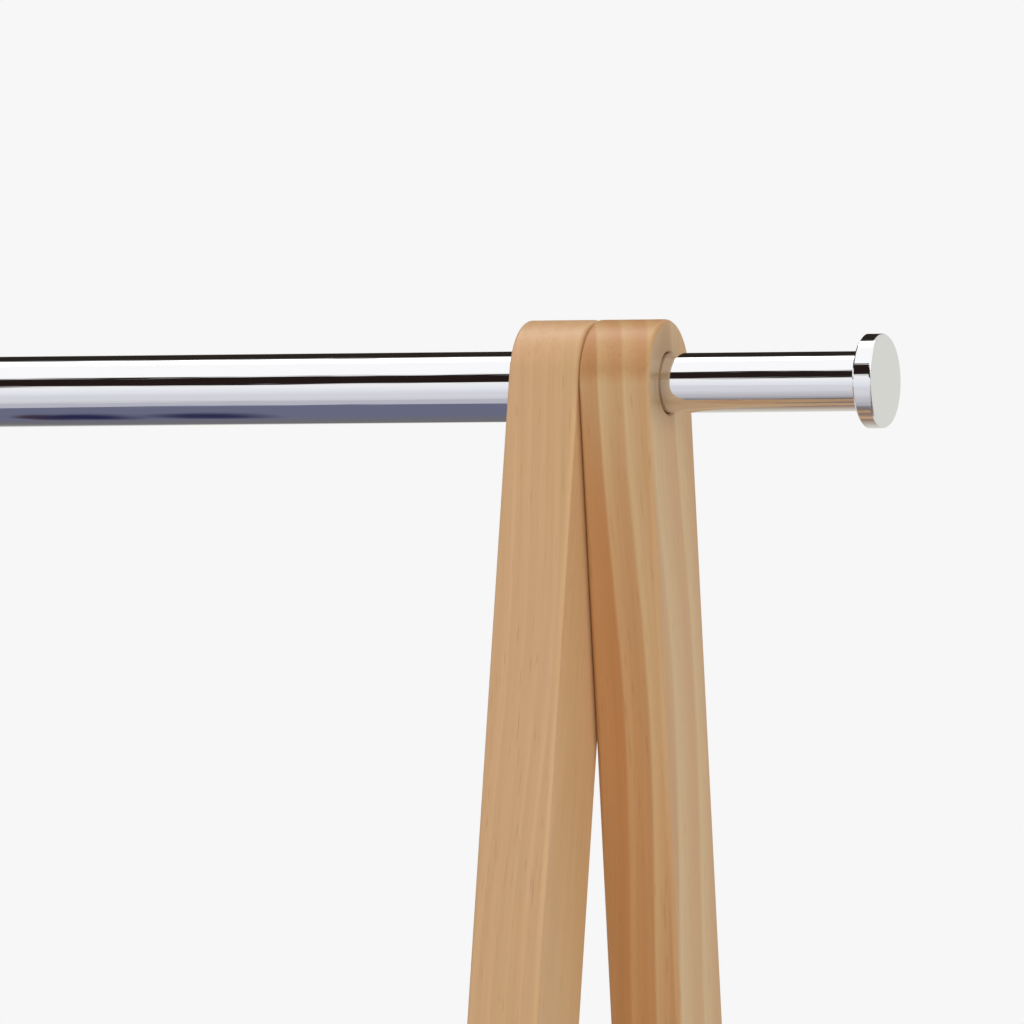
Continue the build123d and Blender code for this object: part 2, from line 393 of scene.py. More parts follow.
def lacquered_pine(
    name,
    node,
    lean,
    pith,
    ring_pitch,
    heartwood,
    sapwood,
    sap_depth,
    streak_depth,
    heart_taper,
    end_grain,
    sway_start,
    seed,
):
    """Planed pine under clear lacquer, sawn from a stem whose pith runs beside the bar. Each year
    darkens to its late wood and pales again at its end, heartwood is browner than sapwood, and
    the grain sways a little."""
    material, tree, surface = new_material(name)
    low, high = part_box(node)
    head_centre = ((low.x + high.x) / 2, 0, rail_axis.z)
    place = add_node(tree, "ShaderNodeTexCoord").outputs["Object"]
    along_leg = add_node(
        tree,
        "ShaderNodeMapping",
        {"vector_type": "TEXTURE"},
        {"Vector": place, "Location": head_centre, "Rotation": (math.radians(lean), 0, 0)},
    ).outputs[0]

    # The grain sways from side to side along the bar, evenly and with a slow drift.
    sway_length = 300 * mm
    sway_width = 2.2 * mm
    drift_length = 240 * mm
    drift_width = 45 * mm
    drift_reach = 2 * mm
    down_leg = add_node(tree, "ShaderNodeSeparateXYZ", inputs={0: along_leg}).outputs["Z"]
    sway_turn = add_node(
        tree,
        "ShaderNodeMath",
        {"operation": "MULTIPLY_ADD"},
        {0: down_leg, 1: 2 * math.pi / sway_length, 2: sway_start},
    )
    sway = add_node(tree, "ShaderNodeMath", {"operation": "SINE"}, {0: sway_turn.outputs[0]})
    swayed = add_node(
        tree,
        "ShaderNodeVectorMath",
        {"operation": "MULTIPLY_ADD"},
        {0: sway.outputs[0], 1: (sway_width, 0, 0), 2: along_leg},
    )
    drift_place = add_node(
        tree,
        "ShaderNodeMapping",
        inputs={
            "Vector": along_leg,
            "Location": (seed, seed, seed),
            "Scale": (1 / drift_width, 1 / drift_width, 1 / drift_length),
        },
    )
    drift = add_node(
        tree,
        "ShaderNodeTexNoise",
        inputs={"Vector": drift_place.outputs[0], "Scale": 1.0, "Detail": 1.0},
    )
    drift_from_middle = add_node(
        tree,
        "ShaderNodeVectorMath",
        {"operation": "SUBTRACT"},
        {0: drift.outputs["Color"], 1: (0.5, 0.5, 0.5)},
    )
    grain_place = add_node(
        tree,
        "ShaderNodeVectorMath",
        {"operation": "MULTIPLY_ADD"},
        {0: drift_from_middle.outputs[0], 1: (drift_reach, drift_reach, 0), 2: swayed.outputs[0]},
    ).outputs[0]

    # Growth rings: the distance from the pith in years, and how far each year has gone.
    from_pith = add_node(
        tree,
        "ShaderNodeMapping",
        inputs={"Vector": grain_place, "Location": (-pith[0], -pith[1], 0), "Scale": (1, 1, 0)},
    )
    stem_radius = add_node(
        tree, "ShaderNodeVectorMath", {"operation": "LENGTH"}, {0: from_pith.outputs[0]}
    ).outputs["Value"]
    years = add_node(
        tree, "ShaderNodeMath", {"operation": "DIVIDE"}, {0: stem_radius, 1: ring_pitch}
    )
    season = add_node(tree, "ShaderNodeMath", {"operation": "FRACT"}, {0: years.outputs[0]})
    late_summer, winter = 0.6, 0.86
    lateness = add_node(tree, "ShaderNodeValToRGB", inputs={"Fac": season.outputs[0]})
    stops = lateness.color_ramp.elements
    stops[0].position, stops[0].color = 0.0, (0, 0, 0, 1)
    stops[1].position, stops[1].color = 1.0, (0, 0, 0, 1)
    stops.new(late_summer).color = (1, 1, 1, 1)
    stops.new(winter).color = (1, 1, 1, 1)
    heart_ring = add_node(
        tree,
        "ShaderNodeMix",
        {"data_type": "RGBA"},
        {0: lateness.outputs[0], 6: linear(heartwood[0]), 7: linear(heartwood[1])},
    )
    sap_ring = add_node(
        tree,
        "ShaderNodeMix",
        {"data_type": "RGBA"},
        {0: lateness.outputs[0], 6: linear(sapwood[0]), 7: linear(sapwood[1])},
    )

    # Sapwood starts at an uneven depth that follows the years, and the heartwood narrows towards
    # the head.
    middle_radius = Vector(pith).length
    heart_run = 270 * mm
    head_run = (-60 * mm, 10 * mm)
    whole_years = add_node(tree, "ShaderNodeMath", {"operation": "FLOOR"}, {0: years.outputs[0]})
    next_year = add_node(
        tree,
        "ShaderNodeMapRange",
        {"interpolation_type": "SMOOTHSTEP"},
        {"Value": season.outputs[0], "From Min": winter, "From Max": 1.0},
    )
    stepped_years = add_node(
        tree,
        "ShaderNodeMath",
        {"operation": "ADD"},
        {0: whole_years.outputs[0], 1: next_year.outputs[0]},
    )
    streak_width, streak_length = 6 * mm, 320 * mm
    streak_place = add_node(
        tree,
        "ShaderNodeMapping",
        inputs={
            "Vector": grain_place,
            "Location": (seed, seed, seed),
            "Scale": (1 / streak_width, 1 / streak_width, 1 / streak_length),
        },
    )
    streak = add_node(
        tree,
        "ShaderNodeTexNoise",
        inputs={"Vector": streak_place.outputs[0], "Scale": 1.0, "Detail": 2.0},
    )
    streaked_years = add_node(
        tree,
        "ShaderNodeMath",
        {"operation": "MULTIPLY_ADD"},
        {0: streak.outputs[0], 1: streak_depth / ring_pitch, 2: stepped_years.outputs[0]},
    )
    up_heart = add_node(
        tree,
        "ShaderNodeMapRange",
        inputs={
            "Value": down_leg,
            "From Min": -heart_run,
            "From Max": 0.0,
            "To Max": heart_taper,
        },
    )
    past_heart = add_node(
        tree,
        "ShaderNodeMapRange",
        {"interpolation_type": "SMOOTHSTEP"},
        {
            "Value": down_leg,
            "From Min": head_run[0],
            "From Max": head_run[1],
            "To Max": heart_taper / 2,
        },
    )
    narrowed = add_node(
        tree,
        "ShaderNodeMath",
        {"operation": "ADD"},
        {0: up_heart.outputs[0], 1: past_heart.outputs[0]},
    )
    tapered_years = add_node(
        tree,
        "ShaderNodeMath",
        {"operation": "ADD"},
        {0: narrowed.outputs[0], 1: streaked_years.outputs[0]},
    )
    sap_share = add_node(
        tree,
        "ShaderNodeMapRange",
        inputs={
            "Value": tapered_years.outputs[0],
            "From Min": (middle_radius + sap_depth[0] + streak_depth / 2) / ring_pitch,
            "From Max": (middle_radius + sap_depth[1] + streak_depth / 2) / ring_pitch,
        },
    )
    ringed = add_node(
        tree,
        "ShaderNodeMix",
        {"data_type": "RGBA"},
        {0: sap_share.outputs[0], 6: heart_ring.outputs[2], 7: sap_ring.outputs[2]},
    )

    # Fibres shade it in fine long streaks, and resin ducts leave short darker flecks.
    fibre_width, fibre_length = 1.6 * mm, 70 * mm
    fibre_range = (0.3, 0.7)
    fibre_shades = (0.968, 1.03)
    fleck_width, fleck_length = 0.8 * mm, 12 * mm
    fleck_range = (0.7, 0.85)
    fleck_strength = 0.3
    fleck_colour = "#A06E40"
    fibre_place = add_node(
        tree,
        "ShaderNodeMapping",
        inputs={
            "Vector": grain_place,
            "Scale": (1 / fibre_width, 1 / fibre_width, 1 / fibre_length),
        },
    )
    fibre = add_node(
        tree,
        "ShaderNodeTexNoise",
        inputs={"Vector": fibre_place.outputs[0], "Scale": 1.0, "Detail": 3.0},
    )
    fleck_place = add_node(
        tree,
        "ShaderNodeMapping",
        inputs={
            "Vector": grain_place,
            "Scale": (1 / fleck_width, 1 / fleck_width, 1 / fleck_length),
        },
    )
    fleck = add_node(
        tree,
        "ShaderNodeTexNoise",
        inputs={"Vector": fleck_place.outputs[0], "Scale": 1.0, "Detail": 0.0},
    )
    fibre_shade = add_node(
        tree,
        "ShaderNodeMapRange",
        inputs={
            "Value": fibre.outputs[0],
            "From Min": fibre_range[0],
            "From Max": fibre_range[1],
            "To Min": fibre_shades[0],
            "To Max": fibre_shades[1],
        },
    )
    fleck_share = add_node(
        tree,
        "ShaderNodeMapRange",
        inputs={
            "Value": fleck.outputs[0],
            "From Min": fleck_range[0],
            "From Max": fleck_range[1],
            "To Max": fleck_strength,
        },
    )
    shaded = add_node(
        tree,
        "ShaderNodeVectorMath",
        {"operation": "SCALE"},
        {0: ringed.outputs[2], "Scale": fibre_shade.outputs[0]},
    )
    toned = add_node(
        tree,
        "ShaderNodeMix",
        {"data_type": "RGBA"},
        {0: fleck_share.outputs[0], 6: shaded.outputs[0], 7: linear(fleck_colour)},
    )

    # End grain shows on the round head, where it drinks more lacquer and is browner.
    end_range = (0.05, 0.35)
    relief_strength = 0.2
    fibre_relief = 0.1 * mm
    lacquer_roughness = 0.4
    up_leg = Vector((0, -math.sin(math.radians(lean)), math.cos(math.radians(lean))))
    facing = add_node(tree, "ShaderNodeTexCoord").outputs["Normal"]
    end_on = add_node(
        tree, "ShaderNodeVectorMath", {"operation": "DOT_PRODUCT"}, {0: facing, 1: up_leg}
    )
    end_share = add_node(
        tree,
        "ShaderNodeMapRange",
        {"interpolation_type": "SMOOTHSTEP"},
        {"Value": end_on.outputs["Value"], "From Min": end_range[0], "From Max": end_range[1]},
    )
    browned = add_node(
        tree,
        "ShaderNodeMix",
        {"data_type": "RGBA", "blend_type": "MULTIPLY"},
        {0: end_share.outputs[0], 6: toned.outputs[2], 7: linear(end_grain)},
    )
    relief = add_node(
        tree,
        "ShaderNodeBump",
        inputs={
            "Strength": relief_strength,
            "Distance": fibre_relief,
            "Height": fibre.outputs[0],
        },
    )
    wood = add_node(
        tree,
        "ShaderNodeBsdfPrincipled",
        inputs={
            "Base Color": browned.outputs[2],
            "Roughness": lacquer_roughness,
            "Normal": relief.outputs[0],
        },
    )
    tree.links.new(wood.outputs[0], surface)
    return material


right_leg = saw_leg("front", -half_splay, core_radius + fit)
low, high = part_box("front_leg_right")
pin_low, pin_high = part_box("stop_pin_right")
pin_centre = (pin_low + pin_high) / 2
pin_mouth = (high.x, pin_centre.y, pin_centre.z)
lock_mouth = Vector(((low.x + high.x) / 2, 0, rail_axis.z)) + across(-half_splay) * leg_width / 2
drill(right_leg, stop_pin_radius + fit, pin_mouth, (-1, 0, 0), high.x - pin_low.x)
drill(right_leg, bolt_radius + fit, lock_mouth, -across(-half_splay), leg_width / 2)
drill(right_leg, bolt_head_radius + head_room, lock_mouth, -across(-half_splay), lock_recess)
left_leg = mirror_copy(right_leg, "pine_front_leg_left")
for leg, end, side, seed in ((left_leg, "left", -1, 2.1), (right_leg, "right", 1, 4.1)):
    pine = lacquered_pine(
        f"lacquered_pine_front_{end}",
        f"front_leg_{end}",
        -half_splay,
        pith=(side * 137 * mm, 0),
        ring_pitch=6.5 * mm,
        heartwood=("#D6AE7C", "#D3AA78"),
        sapwood=("#DDB187", "#DAAD83"),
        sap_depth=(-35 * mm, 35 * mm),
        streak_depth=140 * mm,
        heart_taper=0.0,
        end_grain="#FAF7F7",
        sway_start=0.8,
        seed=seed,
    )
    leg.data.materials.append(pine)
    smooth(leg)
    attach(leg, "front_frame")
    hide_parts(f"front_leg_{end}")

# Rail lock screws: button-head steel screws in the rear edges of the front legs, with a hex
# socket. Each runs through the wood into a tapped hole in the core.
lock_screw_head_height = 4 * mm
lock_screw_tip = 3 * mm
key_width = 5 * mm
key_depth = 3 * mm
screw_sides = 48


def turn_screw(name, under_head, outward, shank_length, head_height):
    """A screw with a plain shank and an eased head with a hex socket."""
    head_ease = 0.6 * mm
    facing = outward.to_track_quat("Z", "Y").to_euler()
    screw = start(
        bpy.ops.mesh.primitive_cylinder_add,
        name,
        vertices=screw_sides,
        radius=bolt_head_radius,
        depth=head_height,
        location=under_head + outward * head_height / 2,
        rotation=facing,
    )
    pick(
        screw,
        "EDGE",
        lambda edge: any(face.normal.dot(outward) > square_on for face in edge.link_faces),
    )
    bpy.ops.mesh.bevel(offset=head_ease, segments=4, affect="EDGES", clamp_overlap=False)
    close_edit()
    head_overlap = head_height / 4
    shank = start(
        bpy.ops.mesh.primitive_cylinder_add,
        "shank",
        vertices=screw_sides,
        radius=bolt_radius,
        depth=shank_length + head_overlap,
        location=under_head - outward * (shank_length - head_overlap) / 2,
        rotation=facing,
    )
    combine(screw, shank, "UNION")
    hex_radius = key_width / 2 / math.cos(math.pi / 6)
    drill(screw, hex_radius, under_head + outward * head_height, -outward, key_depth, flutes=6)
    return screw


# Zinc plated steel: a dull bluish mirror, broken up by the plating's fine grain.
zinc, tree, surface = new_material("zinc_plated_steel")
plating_grain = 0.8 * mm
grain_range = (0.3, 0.7)
bright_roughness, dull_roughness = 0.25, 0.42
place = add_node(tree, "ShaderNodeTexCoord").outputs["Object"]
grain = add_node(
    tree, "ShaderNodeTexNoise", inputs={"Vector": place, "Scale": 1 / plating_grain, "Detail": 2.0}
)
dullness = add_node(
    tree,
    "ShaderNodeMapRange",
    inputs={
        "Value": grain.outputs[0],
        "From Min": grain_range[0],
        "From Max": grain_range[1],
        "To Min": bright_roughness,
        "To Max": dull_roughness,
    },
)
tint = add_node(
    tree,
    "ShaderNodeMix",
    {"data_type": "RGBA"},
    {0: grain.outputs[0], 6: linear("#B9BCC0"), 7: linear("#CFD0D0")},
)
steel = add_node(
    tree,
    "ShaderNodeBsdfPrincipled",
    inputs={"Base Color": tint.outputs[2], "Metallic": 1.0, "Roughness": dullness.outputs[0]},
)
tree.links.new(steel.outputs[0], surface)

lock_under_head = lock_mouth - across(-half_splay) * lock_recess
right_screw = turn_screw(
    "steel_rail_lock_screw_right",
    lock_under_head,
    across(-half_splay),
    leg_width / 2 - lock_recess - core_radius + core_wall + lock_screw_tip,
    lock_screw_head_height,
)
left_screw = mirror_copy(right_screw, "steel_rail_lock_screw_left")
for screw, end in ((left_screw, "left"), (right_screw, "right")):
    screw.data.materials.append(zinc)
    smooth(screw)
    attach(screw, "front_frame")
    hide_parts(f"rail_lock_screw_{end}")

# Stop pins: plain steel dowels, driven into the lapped faces of the front legs. They run in
# the slots of the rear legs and are hidden between the two.
for end in ("left", "right"):
    frame["nodes"][f"stop_pin_{end}"].material_slots[0].material = zinc

# Rail sleeve: a wider chrome tube that clothes hang on, which holds the front legs apart. It is
# loose round the core, so it hangs a little low on it.
sleeve_radius = 15 * mm
sleeve_wall = 1.3 * mm
sleeve = draw_tube("chrome_rail_sleeve", "rail_sleeve", sleeve_radius, sleeve_wall)
sleeve.data.materials.append(chrome)
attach(sleeve, "front_frame")
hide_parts("rail_sleeve")

# Pivot washers: discs of dark moulded nylon on the core, between the lapped legs. They are sunk
# in the rear legs, so the legs almost touch and hide them.

# Dark moulded nylon: a dull brown, faintly mottled by the grain of its mould.
nylon, tree, surface = new_material("dark_moulded_nylon")
mould_grain = 0.6 * mm
place = add_node(tree, "ShaderNodeTexCoord").outputs["Object"]
grain = add_node(
    tree, "ShaderNodeTexNoise", inputs={"Vector": place, "Scale": 1 / mould_grain, "Detail": 2.0}
)
tint = add_node(
    tree,
    "ShaderNodeMix",
    {"data_type": "RGBA"},
    {0: grain.outputs[0], 6: linear("#4A3626"), 7: linear("#5C4530")},
)
moulded = add_node(
    tree, "ShaderNodeBsdfPrincipled", inputs={"Base Color": tint.outputs[2], "Roughness": 0.5}
)
tree.links.new(moulded.outputs[0], surface)
for end in ("left", "right"):
    frame["nodes"][f"pivot_washer_{end}"].material_slots[0].material = nylon

# Rear legs: the outer bars of each pair, sawn like the front ones. They turn on the core, so
# their bores are a little wider, and the lapped face has a recess for the washer and a curved
# slot for the stop pin.
fold_travel = 17
pivot_room = 0.4 * mm
slot_room = 0.4 * mm
slot_depth = 10.9 * mm
washer_recess_radius = 20.5 * mm
washer_recess = 1.5 * mm


def mill_arc(piece, first, width, depth, travel):
    """Mills a round-ended slot about the rail into a face that looks inward, from a first point."""
    overshoot = 5 * mm
    steps = 16
    arm = Vector((0, first.y - rail_axis.y, first.z - rail_axis.z))
    path = start(
        bpy.ops.mesh.primitive_plane_add,
        "milling_path",
        size=1,
        location=first + Vector((depth - overshoot, 0, 0)) / 2,
        rotation=(math.atan2(arm.z, arm.y), 0, 0),
        stretch=(depth + overshoot, width, 1),
    )
    bpy.ops.object.mode_set(mode="EDIT")
    bpy.ops.mesh.select_all(action="SELECT")
    bpy.ops.mesh.spin(steps=steps, angle=math.radians(travel), center=rail_axis, axis=(1, 0, 0))
    close_edit()
    combine(piece, path, "DIFFERENCE")
    for turn in (0, travel):
        end = Vector((first.x, 0, rail_axis.z)) + Matrix.Rotation(math.radians(turn), 3, "X") @ arm
        drill(piece, width / 2, end, (1, 0, 0), depth)


right_leg = saw_leg("rear", half_splay, core_radius + pivot_room)
lapped_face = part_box("rear_leg_right")[0].x
slot_start = Vector((lapped_face, pin_centre.y, pin_centre.z))
mill_arc(right_leg, slot_start, 2 * (stop_pin_radius + slot_room), slot_depth, fold_travel)
drill(right_leg, washer_recess_radius, (lapped_face, 0, rail_axis.z), (1, 0, 0), washer_recess)
left_leg = mirror_copy(right_leg, "pine_rear_leg_left")
for leg, end, side, seed in ((left_leg, "left", -1, 6.7), (right_leg, "right", 1, 8.7)):
    pine = lacquered_pine(
        f"lacquered_pine_rear_{end}",
        f"rear_leg_{end}",
        half_splay,
        pith=(-side * 137.4 * mm, -70 * mm),
        ring_pitch=10.8 * mm,
        heartwood=("#C8925E", "#BF8753"),
        sapwood=("#D8B585", "#CFA271"),
        sap_depth=(-14.9 * mm, 6.7 * mm),
        streak_depth=16 * mm,
        heart_taper=1.4,
        end_grain="#F1E3D7",
        sway_start=1.456,
        seed=seed,
    )
    leg.data.materials.append(pine)
    smooth(leg)
    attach(leg, "rear_frame")
    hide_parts(f"rear_leg_{end}")

# End caps: turned steel discs, chrome plated, with the edge of the face rounded off. Each is
# screwed onto a stud in a steel plug, which is pressed into the end of the core.
cap_radius = 20 * mm
cap_edge_radius = 2 * mm
cap_bevel = 0.8 * mm
stud_radius = 4 * mm
low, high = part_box("end_cap_right")
right_cap = start(
    bpy.ops.mesh.primitive_cylinder_add,
    "chrome_end_cap_right",
    vertices=tube_sides,
    radius=cap_radius,
    depth=high.x - low.x,
    location=((low.x + high.x) / 2, 0, rail_axis.z),
    rotation=(0, math.pi / 2, 0),
)
pick(right_cap, "EDGE", lambda edge: rims_end(edge) and edge.verts[0].co.x > low.x + cap_bevel)
bpy.ops.mesh.bevel(offset=cap_edge_radius, segments=10, affect="EDGES", clamp_overlap=False)
pick(right_cap, "EDGE", lambda edge: rims_end(edge) and edge.verts[0].co.x < low.x + cap_bevel)
bpy.ops.mesh.bevel(offset=cap_bevel, segments=1, affect="EDGES", clamp_overlap=False)
close_edit()
stud_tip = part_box("cap_stud_right")[1].x
drill(right_cap, stud_radius + fit, (low.x, 0, rail_axis.z), (1, 0, 0), stud_tip - low.x + fit)
left_cap = mirror_copy(right_cap, "chrome_end_cap_left")
for cap, end in ((left_cap, "left"), (right_cap, "right")):
    cap.data.materials.append(chrome)
    smooth(cap)
    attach(cap, "front_frame")
    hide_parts(f"end_cap_{end}")
    frame["nodes"][f"cap_plug_{end}"].material_slots[0].material = zinc
    frame["nodes"][f"cap_stud_{end}"].material_slots[0].material = zinc

# Stretchers: chrome plated steel tubes near the floor, one across the front legs and one across
# the rear. Their ends sit in sockets in the legs, with a tapped steel plug inside each.
stretcher_wall = 1.5 * mm
for row in ("front", "rear"):
    stretcher = draw_tube(
        f"chrome_{row}_stretcher", f"{row}_stretcher", stretcher_radius, stretcher_wall
    )
    stretcher.data.materials.append(chrome)
    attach(stretcher, f"{row}_frame")
    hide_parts(f"{row}_stretcher")
    for end in ("left", "right"):
        frame["nodes"][f"{row}_stretcher_plug_{end}"].material_slots[0].material = zinc

# Stretcher bolts: socket-head steel bolts, sunk in the outer faces of the legs, which draw the
# legs onto the stretchers.
bolt_head_height = 6 * mm
for row in ("front", "rear"):
    low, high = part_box(f"{row}_stretcher_bolt_right")
    middle = (low + high) / 2
    under_head = Vector((high.x - bolt_head_height, middle.y, middle.z))
    right_bolt = turn_screw(
        f"steel_{row}_stretcher_bolt_right",
        under_head,
        Vector((1, 0, 0)),
        under_head.x - low.x,
        bolt_head_height,
    )
    left_bolt = mirror_copy(right_bolt, f"steel_{row}_stretcher_bolt_left")
    for bolt, end in ((left_bolt, "left"), (right_bolt, "right")):
        bolt.data.materials.append(zinc)
        smooth(bolt)
        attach(bolt, f"{row}_frame")
        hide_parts(f"{row}_stretcher_bolt_{end}")

# Foot pads: moulded plastic glides under the level feet, which spare the floor. Each has a
# spigot on top, which is pushed into a hole in the leg.
pad_thickness = 4 * mm
pad_corner = 6 * mm
pad_ease = 1 * mm

# Moulded polyethylene: a matt grey-brown with the fine grain of its mould.
polyethylene, tree, surface = new_material("moulded_polyethylene")
mould_grain = 0.7 * mm
grain_strength = 0.3
grain_relief = 0.1 * mm
place = add_node(tree, "ShaderNodeTexCoord").outputs["Object"]
grain = add_node(
    tree, "ShaderNodeTexNoise", inputs={"Vector": place, "Scale": 1 / mould_grain, "Detail": 2.0}
)
tint = add_node(
    tree,
    "ShaderNodeMix",
    {"data_type": "RGBA"},
    {0: grain.outputs[0], 6: linear("#5A544C"), 7: linear("#6A645B")},
)
relief = add_node(
    tree,
    "ShaderNodeBump",
    inputs={"Strength": grain_strength, "Distance": grain_relief, "Height": grain.outputs[0]},
)
moulded = add_node(
    tree,
    "ShaderNodeBsdfPrincipled",
    inputs={"Base Color": tint.outputs[2], "Roughness": 0.55, "Normal": relief.outputs[0]},
)
tree.links.new(moulded.outputs[0], surface)

for row in ("front", "rear"):
    low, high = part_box(f"{row}_foot_pad_right")
    right_pad = start(
        bpy.ops.mesh.primitive_cube_add,
        f"plastic_{row}_foot_pad_right",
        size=1,
        location=((low.x + high.x) / 2, (low.y + high.y) / 2, pad_thickness / 2),
        stretch=(high.x - low.x, high.y - low.y, pad_thickness),
    )
    pick(
        right_pad,
        "EDGE",
        lambda edge: abs(edge.verts[0].co.z - edge.verts[1].co.z) > pad_thickness / 2,
    )
    bpy.ops.mesh.bevel(offset=pad_corner, segments=8, affect="EDGES", clamp_overlap=False)
    pick(
        right_pad,
        "EDGE",
        lambda edge: any(face.normal.z < -square_on for face in edge.link_faces),
    )
    bpy.ops.mesh.bevel(offset=pad_ease, segments=3, affect="EDGES", clamp_overlap=False)
    close_edit()
    spigot_overlap = pad_thickness / 2
    spigot = start(
        bpy.ops.mesh.primitive_cylinder_add,
        "spigot",
        vertices=screw_sides,
        radius=spigot_radius,
        depth=spigot_length + spigot_overlap,
        location=(
            (low.x + high.x) / 2,
            (low.y + high.y) / 2,
            pad_thickness + (spigot_length - spigot_overlap) / 2,
        ),
    )
    combine(right_pad, spigot, "UNION")
    left_pad = mirror_copy(right_pad, f"plastic_{row}_foot_pad_left")
    for pad, end in ((left_pad, "left"), (right_pad, "right")):
        pad.data.materials.append(polyethylene)
        smooth(pad)
        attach(pad, f"{row}_frame")
        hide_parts(f"{row}_foot_pad_{end}")

# Floor: a plain pale studio floor that fades into the background away from the rack. Its matt
# paper takes soft shadows, and the chrome does not show it.
floor_radius = 12
floor_sides = 96
fade_start, fade_end = 0.7, 2.8
floor = start(
    bpy.ops.mesh.primitive_circle_add,
    "studio_floor",
    vertices=floor_sides,
    radius=floor_radius,
    fill_type="NGON",
)
paper, tree, surface = new_material("pale_floor")
floor_place = add_node(tree, "ShaderNodeTexCoord").outputs["Object"]
reach = add_node(tree, "ShaderNodeVectorMath", {"operation": "LENGTH"}, {0: floor_place})
fade = add_node(
    tree,
    "ShaderNodeMapRange",
    {"interpolation_type": "SMOOTHSTEP"},
    {"Value": reach.outputs["Value"], "From Min": fade_start, "From Max": fade_end},
).outputs[0]
matt = add_node(tree, "ShaderNodeBsdfDiffuse", inputs={"Color": linear("#F8F8F8")}).outputs[0]
clear = add_node(tree, "ShaderNodeBsdfTransparent").outputs[0]
floor_mix = add_node(tree, "ShaderNodeMixShader", inputs={0: fade, 1: matt, 2: clear}).outputs[0]
tree.links.new(floor_mix, surface)
floor.data.materials.append(paper)
floor.visible_glossy = False

# Studio light: the room as the chrome sees it, in bands from the front over the top to the
# back and plain at the back right, a flat pale background for the eye, and a fill for the rest
# that is brighter from behind. Three soft lamps add to it.
room_level = 1.06
plain_tone = "#D8D8D2"
plain_from_left = (-0.25, -0.05)
plain_from_front = (0.0, 0.25)
fill_front, fill_back = 0.3, 0.6
world = bpy.data.worlds.new("studio")
bpy.context.scene.world = world
world.use_nodes = True
tree = world.node_tree
tree.nodes.clear()
world_output = add_node(tree, "ShaderNodeOutputWorld")
direction = add_node(tree, "ShaderNodeTexCoord").outputs["Generated"]
split = add_node(tree, "ShaderNodeSeparateXYZ", inputs={0: direction})
towards_front = add_node(
    tree, "ShaderNodeMath", {"operation": "MULTIPLY"}, {0: split.outputs["Y"], 1: -1.0}
)
height_angle = add_node(
    tree,
    "ShaderNodeMath",
    {"operation": "ARCTAN2"},
    {0: split.outputs["Z"], 1: towards_front.outputs[0]},
)
turn = add_node(
    tree,
    "ShaderNodeMapRange",
    inputs={"Value": height_angle.outputs[0], "From Min": -math.pi, "From Max": math.pi},
)
room = add_node(tree, "ShaderNodeValToRGB", inputs={"Fac": turn.outputs[0]})
room_bands = (
    (-180, "#E0DED8"),
    (-143, "#C8C4B8"),
    (-122, "#AA9A8C"),
    (-112, "#90786A"),
    (-82, "#887670"),
    (-75, "#706664"),
    (-68, "#88888E"),
    (-60, "#B4B3B8"),
    (-47, "#C2C1C6"),
    (-33, "#D6D6DC"),
    (-20, "#D6D7DC"),
    (-8, "#E6E8EE"),
    (10, "#F4F4F4"),
    (14, "#241A18"),
    (38, "#241A18"),
    (41, "#FFFFFF"),
    (111, "#FFFFFF"),
    (115, "#2A2420"),
    (164, "#2A2420"),
    (168, "#D8D8D2"),
)
while len(room.color_ramp.elements) > 1:
    room.color_ramp.elements.remove(room.color_ramp.elements[-1])
for index, (angle, colour) in enumerate(room_bands):
    position = (angle + 180) / 360
    stop = room.color_ramp.elements[0] if index == 0 else room.color_ramp.elements.new(position)
    stop.position = position
    stop.color = linear(colour)
to_right = add_node(
    tree,
    "ShaderNodeMapRange",
    {"interpolation_type": "SMOOTHSTEP"},
    {
        "Value": split.outputs["X"],
        "From Min": plain_from_left[0],
        "From Max": plain_from_left[1],
    },
)
to_back = add_node(
    tree,
    "ShaderNodeMapRange",
    {"interpolation_type": "SMOOTHSTEP"},
    {
        "Value": split.outputs["Y"],
        "From Min": plain_from_front[0],
        "From Max": plain_from_front[1],
    },
)
plain_share = add_node(
    tree,
    "ShaderNodeMath",
    {"operation": "MULTIPLY"},
    {0: to_right.outputs[0], 1: to_back.outputs[0]},
)
room_tone = add_node(
    tree,
    "ShaderNodeMix",
    {"data_type": "RGBA"},
    {0: plain_share.outputs[0], 6: room.outputs[0], 7: linear(plain_tone)},
)
reflected = add_node(
    tree, "ShaderNodeBackground", inputs={"Color": room_tone.outputs[2], "Strength": room_level}
)
backdrop = add_node(
    tree, "ShaderNodeBackground", inputs={"Color": linear("#F7F7F7"), "Strength": 1.0}
)
fill_level = add_node(
    tree,
    "ShaderNodeMapRange",
    inputs={
        "Value": split.outputs["Y"],
        "From Min": -1.0,
        "To Min": fill_front,
        "To Max": fill_back,
    },
)
fill = add_node(
    tree,
    "ShaderNodeBackground",
    inputs={"Color": linear("#FFFFFF"), "Strength": fill_level.outputs[0]},
)
path = add_node(tree, "ShaderNodeLightPath")
for_metal = add_node(
    tree,
    "ShaderNodeMixShader",
    inputs={0: path.outputs["Is Glossy Ray"], 1: fill.outputs[0], 2: reflected.outputs[0]},
)
for_eye = add_node(
    tree,
    "ShaderNodeMath",
    {"operation": "MAXIMUM"},
    {0: path.outputs["Is Camera Ray"], 1: path.outputs["Is Transmission Ray"]},
)
seen = add_node(
    tree,
    "ShaderNodeMixShader",
    inputs={0: for_eye.outputs[0], 1: for_metal.outputs[0], 2: backdrop.outputs[0]},
)
tree.links.new(seen.outputs[0], world_output.inputs["Surface"])


